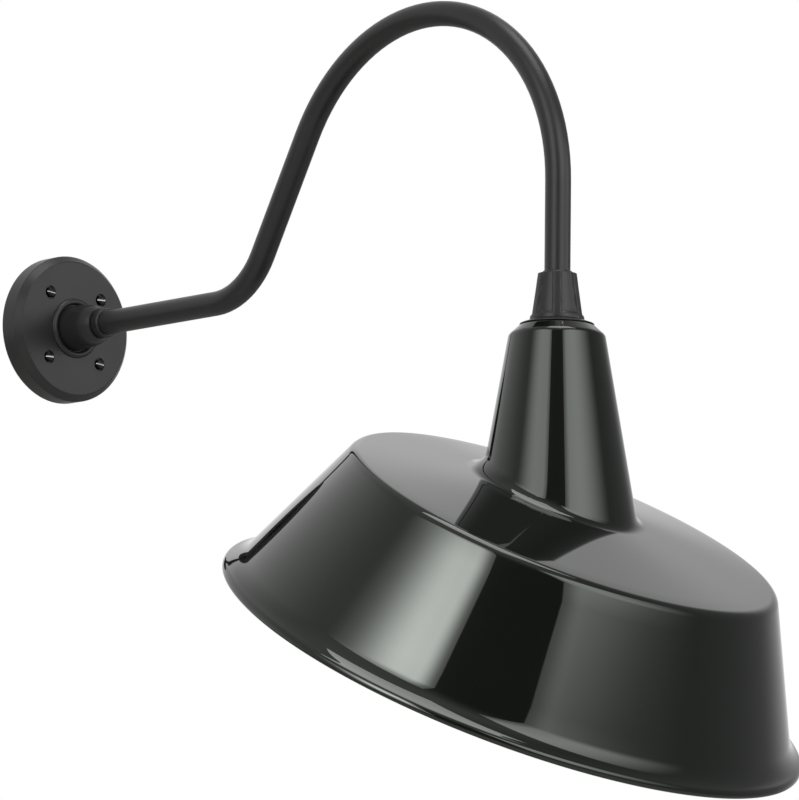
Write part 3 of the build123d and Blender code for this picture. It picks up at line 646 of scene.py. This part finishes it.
# Glass fused to steel: a deep near-black with a cool green cast, mirror-bright, its flow faintly uneven.
dish_enamel = vitreous_enamel("gloss_vitreous_enamel_on_dish", rim_middle, up_the_dish, rim_black)
neck_foot = Vector((0, drop_y, neck_low.z))
dress(vitreous_enamel("gloss_vitreous_enamel_on_neck", neck_foot, Vector((0, 0, 1)), -mm), "shade_neck")


def crown_height(radius, inset):
    """The straight crown's height at a radius from the dish's axis."""
    return (shoulder_at - radius) * tan(crown_fall) - inset / cos(crown_fall)


def hole_edge(angle, inset):
    """How far out from the dish's own axis the upright hole under the neck cuts the crown."""
    near, far = 0.0, whole_rings_from
    for _ in range(30):
        middle = (near + far) / 2
        off = middle * sin(angle) * cos(dish_lean) - crown_height(middle, inset) * sin(dish_lean) - dish_ahead
        if (middle * cos(angle)) ** 2 + off ** 2 < hole_under_neck ** 2:
            near = middle
        else:
            far = middle
    return near


def spun_line(inset):
    """One skin of the sheet as (radius, height) points: over the shoulder, down the wall and out along the flare,
    round the bead and back under into the hem. Each move is a length or a radius, a turn and a number of steps."""
    tangent = shoulder_round * tan((wall_fall - crown_fall) / 2)
    at = Vector((whole_rings_from, crown_height(whole_rings_from, inset)))
    crown_long = (shoulder_at - whole_rings_from) / cos(crown_fall) - inset * sin(crown_fall) / cos(crown_fall)
    heading = -crown_fall
    line = [tuple(at)]
    moves = [
        (crown_long - tangent, 0, 6),
        (shoulder_round - inset, crown_fall - wall_fall, 10),
        (wall_long - tangent, 0, 8),
        (flare_round + inset, flare_turn, 14),
        (bead_round - inset, -bead_turn, 8),
        (hem_round - inset, -pi, 16),
    ]
    for reach, turning, steps in moves:
        stride = 2 * reach * sin(abs(turning) / steps / 2) if turning else reach / steps
        for _ in range(steps):
            heading += turning / steps / 2
            at = at + stride * Vector((cos(heading), sin(heading)))
            heading += turning / steps / 2
            line.append(tuple(at))
    return line


# The first and the last ring start small, and then open to the edge of the hole, which is upright in the leaning
# crown and hidden under the neck's foot.
form = bmesh.new()
turn(form, [
    (mm, crown_height(0, 0)), *spun_line(0), *reversed(spun_line(sheet)), (mm, crown_height(0, sheet)),
], round_steps, Matrix())
form.verts.ensure_lookup_table()
for first, inset in ((0, 0), (len(form.verts) - round_steps, sheet)):
    for k in range(round_steps):
        around = 2 * pi * k / round_steps
        reach = hole_edge(around, inset)
        form.verts[first + k].co = (reach * cos(around), reach * sin(around), crown_height(reach, inset))
lean = Matrix.Translation((0, drop_y - dish_ahead, cap_top - dish_drop)) @ Matrix.Rotation(dish_lean, 4, "X")
bmesh.ops.transform(form, matrix=lean, verts=form.verts)
dish = make_piece("spun_dish", form, dish_enamel, 50)
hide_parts("shade_dish")
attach(dish, "shade")

# ---------------------------------------------------------------- strap, washer, nut and holder screws
# Zinc plated steel: a bent strap, a flat washer and a hexagon nut on the stem that clamp the shade, and two
# screws that hold the lampholder between the strap's legs.
# Bright zinc with a clear passivation: blue-grey, faintly yellowed in patches, the rolled sheet's grain in it.
bright_zinc, tree, shader = finish_tree("clear_passivated_zinc", "#b7b9b6", Metallic=1.0)
patch = mottle(tree, 5 * mm, 3.0)
rolled = mottle(tree, 1.2 * mm, 2.0, (1, 1, 0.08))
tree.links.new(tint(tree, patch, "#aeb2b4", "#c3c1b4"), shader.inputs["Base Color"])
tree.links.new(spread(tree, rolled, 0.26, 0.40), shader.inputs["Roughness"])
raise_skin(tree, shader, rolled, 0.008 * mm)
dress(bright_zinc, "holder_strap", "stem_washer", "stem_nut", "holder_screws")

# ---------------------------------------------------------------- lampholder
# A glazed porcelain body, slip cast and fired. Its glaze pools a little in the edges and has a few iron specks.
glaze, tree, shader = finish_tree("white_glazed_porcelain", "#e6e2d7", Coat_Weight=0.6, Coat_Roughness=0.04, IOR=1.5)
warmth = mottle(tree, 12 * mm)
speck = spread(tree, mottle(tree, 1.1 * mm, 1.0), 0.0, 1.0, 0.80, 0.84)
body_colour = tint(tree, warmth, "#dfdacc", "#ece9df")
specked = add_node(tree, "ShaderNodeMix", {"data_type": "RGBA"}, i0=speck, i6=body_colour, i7=linear("#7d6a52"))
tree.links.new(specked.outputs[2], shader.inputs["Base Color"])
tree.links.new(spread(tree, warmth, 0.12, 0.2), shader.inputs["Roughness"])
raise_skin(tree, shader, mottle(tree, 6 * mm), 0.02 * mm)
dress(glaze, "lampholder_body")

# ---------------------------------------------------------------- screw shell, contact, line terminal and rivets
# Brass strip, pressed and rolled. The shell has the round thread of a 26 mm lamp base rolled into it, below
# a plain collar that a rivet holds to the porcelain.
shell_low, shell_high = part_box("screw_shell")
shell_pitch = 3.63 * mm
shell_sheet = 0.55 * mm
shell_r = shell_high.x - 0.05 * mm
shell_wave = 0.8 * mm
shell_rows = 10
shell_sides = 72
collar_long = 6.0 * mm
collar_in = 12.6 * mm
collar_hole = 8.2 * mm
thread_fade = 1.5 * mm


def lamp_thread(radius, height, angle):
    """Winds the lamp's thread into both skins of the shell, fading out at the collar and the mouth."""
    if radius < shell_r - shell_sheet - 0.1 * mm:
        return radius
    depth = shell_wave * min(
        ease(shell_high.z - collar_long - height, 0, thread_fade), ease(height - shell_low.z, 0, thread_fade)
    )
    return radius - depth * (0.5 + 0.5 * cos(2 * pi * height / shell_pitch - angle))


# Drawn brass: warm yellow, bright where the thread was rolled, browner in patches as it dulls.
rolled_brass, tree, shader = finish_tree("rolled_brass", "#c8a24f", Metallic=1.0)
dull = mottle(tree, 4 * mm, 3.0)
tree.links.new(tint(tree, dull, "#a57f3a", "#d1ab57"), shader.inputs["Base Color"])
tree.links.new(spread(tree, dull, 0.36, 0.22), shader.inputs["Roughness"])
raise_skin(tree, shader, mottle(tree, 0.6 * mm), 0.006 * mm)

form = bmesh.new()
collar_foot = shell_high.z - collar_long
rows = round((collar_foot - shell_low.z) / (shell_pitch / shell_rows))
heights = [collar_foot + (shell_low.z - collar_foot) * k / rows for k in range(rows + 1)]
turn(form, [
    (collar_hole, shell_high.z), (collar_in + shell_sheet, shell_high.z),
    (collar_in + shell_sheet, collar_foot + shell_sheet), (shell_r, collar_foot + shell_sheet),
    *((shell_r, z) for z in heights), *((shell_r - shell_sheet, z) for z in reversed(heights)),
    (collar_in, collar_foot), (collar_in, shell_high.z - shell_sheet), (collar_hole, shell_high.z - shell_sheet),
], shell_sides, Matrix.Translation((0, drop_y, 0)), lamp_thread)
shell = make_piece("threaded_lamp_shell", form, rolled_brass, 40)
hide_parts("screw_shell")
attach(shell, "shade")
dress(rolled_brass, "centre_contact", "line_terminal_plate", "line_terminal_screw", "holder_rivets")

# ---------------------------------------------------------------- neutral terminal
# A brass tab and its screw, made as on the line side but nickel plated, so that the two sides are told apart.
# The tab lies on top of the porcelain, and a rivet joins it to the shell below.
nickel_plate, tree, shader = finish_tree("nickel_plate", "#c2beb4", Metallic=1.0)
haze = mottle(tree, 3 * mm, 2.0)
tree.links.new(tint(tree, haze, "#b5b0a5", "#cbc8c0"), shader.inputs["Base Color"])
tree.links.new(spread(tree, haze, 0.18, 0.3), shader.inputs["Roughness"])
dress(nickel_plate, "neutral_terminal_plate", "neutral_terminal_screw")

# ---------------------------------------------------------------- the two leads
# Extruded silicone insulation over stranded copper, black to the brass screw and white to the nickel screw.
# Each comes out of the sleeve's cut end and bends over to its screw.


def silicone_sleeve(name, colour, dusty):
    """Soft extruded insulation: a dull even skin that picks up a little dust."""
    material, tree, shader = finish_tree(name, colour, IOR=1.43)
    dust = mottle(tree, 2.5 * mm, 3.0)
    tree.links.new(tint(tree, dust, colour, dusty), shader.inputs["Base Color"])
    tree.links.new(spread(tree, dust, 0.42, 0.6), shader.inputs["Roughness"])
    return material


dress(silicone_sleeve("black_silicone_insulation", "#141414", "#242322"), "line_lead")
dress(silicone_sleeve("white_silicone_insulation", "#dcdad3", "#cfccc2"), "neutral_lead")

# ---------------------------------------------------------------- reach of the strips
# The left strip lights the dish alone, and the side strip the powder coated pieces and the plate's screws.
strip_reach.objects.link(dish)
for lit in (
    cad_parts["wall_plate"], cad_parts["gooseneck_arm"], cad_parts["arm_lock_ring"],
    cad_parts["shade_flange"], cap, pan_heads,
):
    side_reach.objects.link(lit)
